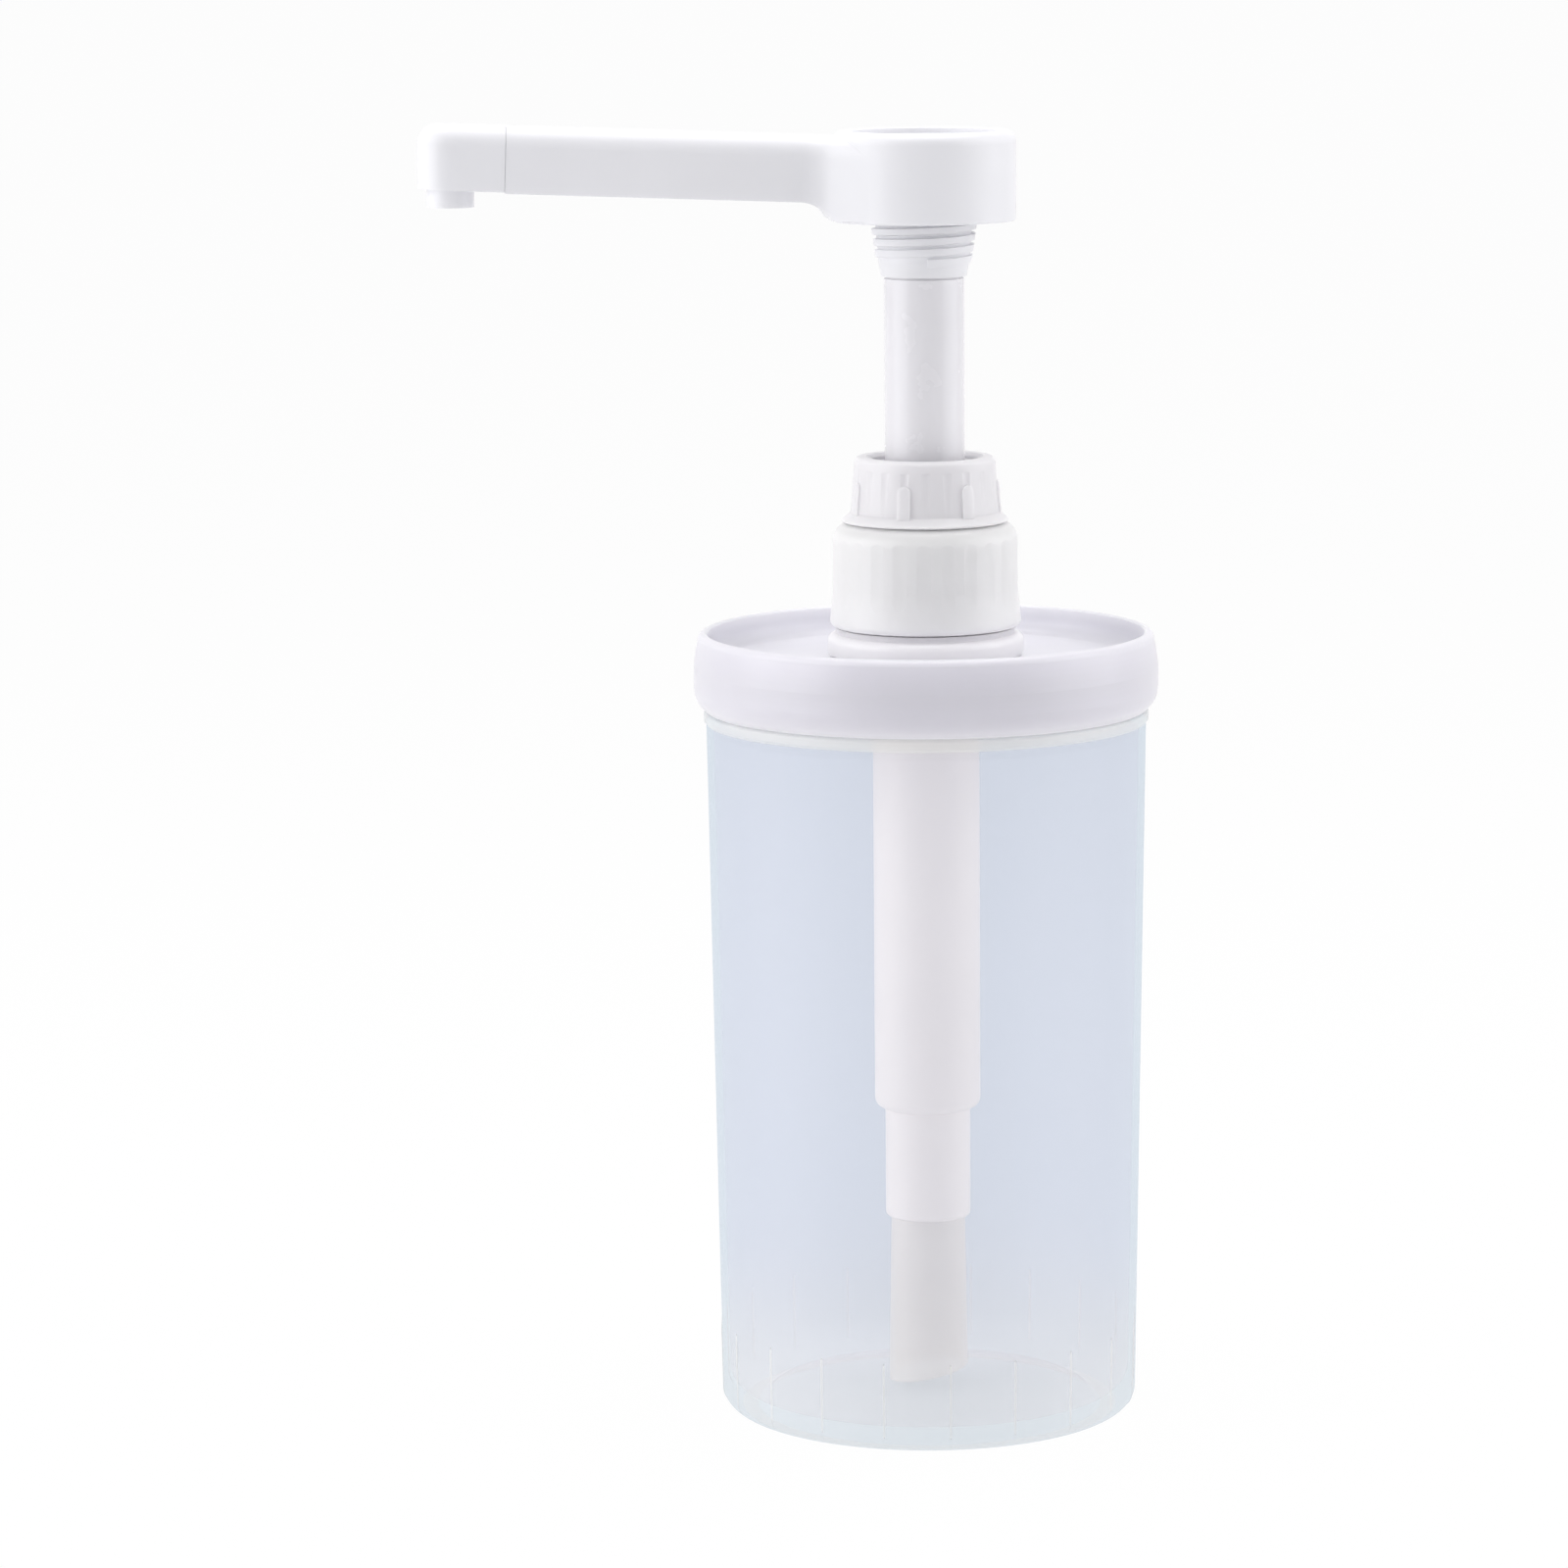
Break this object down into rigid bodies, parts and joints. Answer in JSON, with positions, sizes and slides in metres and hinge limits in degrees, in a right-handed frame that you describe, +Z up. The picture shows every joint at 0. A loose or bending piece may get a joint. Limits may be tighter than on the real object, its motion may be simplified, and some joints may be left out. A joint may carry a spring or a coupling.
{
  "type": "pump dispenser bottle",
  "caption": "Wide-mouth translucent screw-top jar with a lift pump through its lid: long side arm with a downward spout, press hub, ribbed closure and dip tube.",
  "frame": {"origin": "centre of the jar's base, on the pump's axis", "axes": "+Z up along the pump's axis, the spout arm runs along -X"},
  "size_m": [0.1637, 0.104, 0.2915],
  "materials": {
    "jar_frosted": "frosted translucent",
    "lid_white": "satin",
    "fitting_white": "satin",
    "closure_white": "satin",
    "collar_white": "satin",
    "stem_white": "smooth",
    "head_white": "satin",
    "tip_white": "satin",
    "housing_white": "smooth",
    "tube_natural": "smooth translucent",
    "inner_white": "moulded",
    "seal_foam": "foamed",
    "seal_soft": "soft moulded",
    "valve_steel": "polished",
    "spring_steel": "drawn wire"
  },
  "bodies": {
    "jar": {"jar": "jar_frosted"},
    "liner": {"lid_liner": "seal_foam"},
    "lid": {"lid": "lid_white", "neck_fitting": "fitting_white", "fitting_gasket": "seal_soft", "back_nut": "inner_white"},
    "pump": {"housing": "housing_white", "collar": "collar_white", "closure_gasket": "seal_foam", "ball_cage": "inner_white", "dip_tube": "tube_natural", "spring": "spring_steel"},
    "closure": {"closure": "closure_white"},
    "piston": {"piston": "seal_soft"},
    "head": {"head": "head_white", "stem": "stem_white", "nozzle_tip": "tip_white", "piston_retainer": "inner_white"},
    "outlet_ball": {"outlet_ball": "valve_steel"},
    "inlet_ball": {"inlet_ball": "valve_steel"}
  },
  "joints": [
    {"name": "lid_lift", "type": "slide", "parent": "jar", "child": "liner", "axis": [0, 0, 1], "range_m": [0, 0.006]},
    {"name": "lid_turn", "type": "hinge", "parent": "liner", "child": "lid", "pos_m": [0, 0, 0.17], "axis": [0, 0, 1], "range_deg": [0, 540]},
    {"name": "pump_lift", "type": "slide", "parent": "lid", "child": "pump", "axis": [0, 0, 1], "range_m": [0, 0.0063]},
    {"name": "closure_turn", "type": "hinge", "parent": "pump", "child": "closure", "pos_m": [0, 0, 0.19], "axis": [0, 0, 1], "range_deg": [0, 540]},
    {"name": "stroke", "type": "slide", "parent": "pump", "child": "piston", "axis": [0, 0, 1], "range_m": [-0.0398, 0], "stiffness_N_per_m": 250, "springref_m": 0.03, "deforming": ["spring"]},
    {"name": "head_swivel", "type": "hinge", "parent": "piston", "child": "head", "pos_m": [0, 0, 0.27], "axis": [0, 0, 1], "continuous": true},
    {"name": "outlet_ball_lift", "type": "slide", "parent": "head", "child": "outlet_ball", "axis": [0, 0, 1], "range_m": [0, 0.0025]},
    {"name": "inlet_ball_lift", "type": "slide", "parent": "pump", "child": "inlet_ball", "axis": [0, 0, 1], "range_m": [0, 0.0025]}
  ],
  "couplings": [
    {"joint": "lid_turn", "follows": "lid_lift", "rad_per_m": 1570.8},
    {"joint": "closure_turn", "follows": "pump_lift", "rad_per_m": 1496}
  ]
}
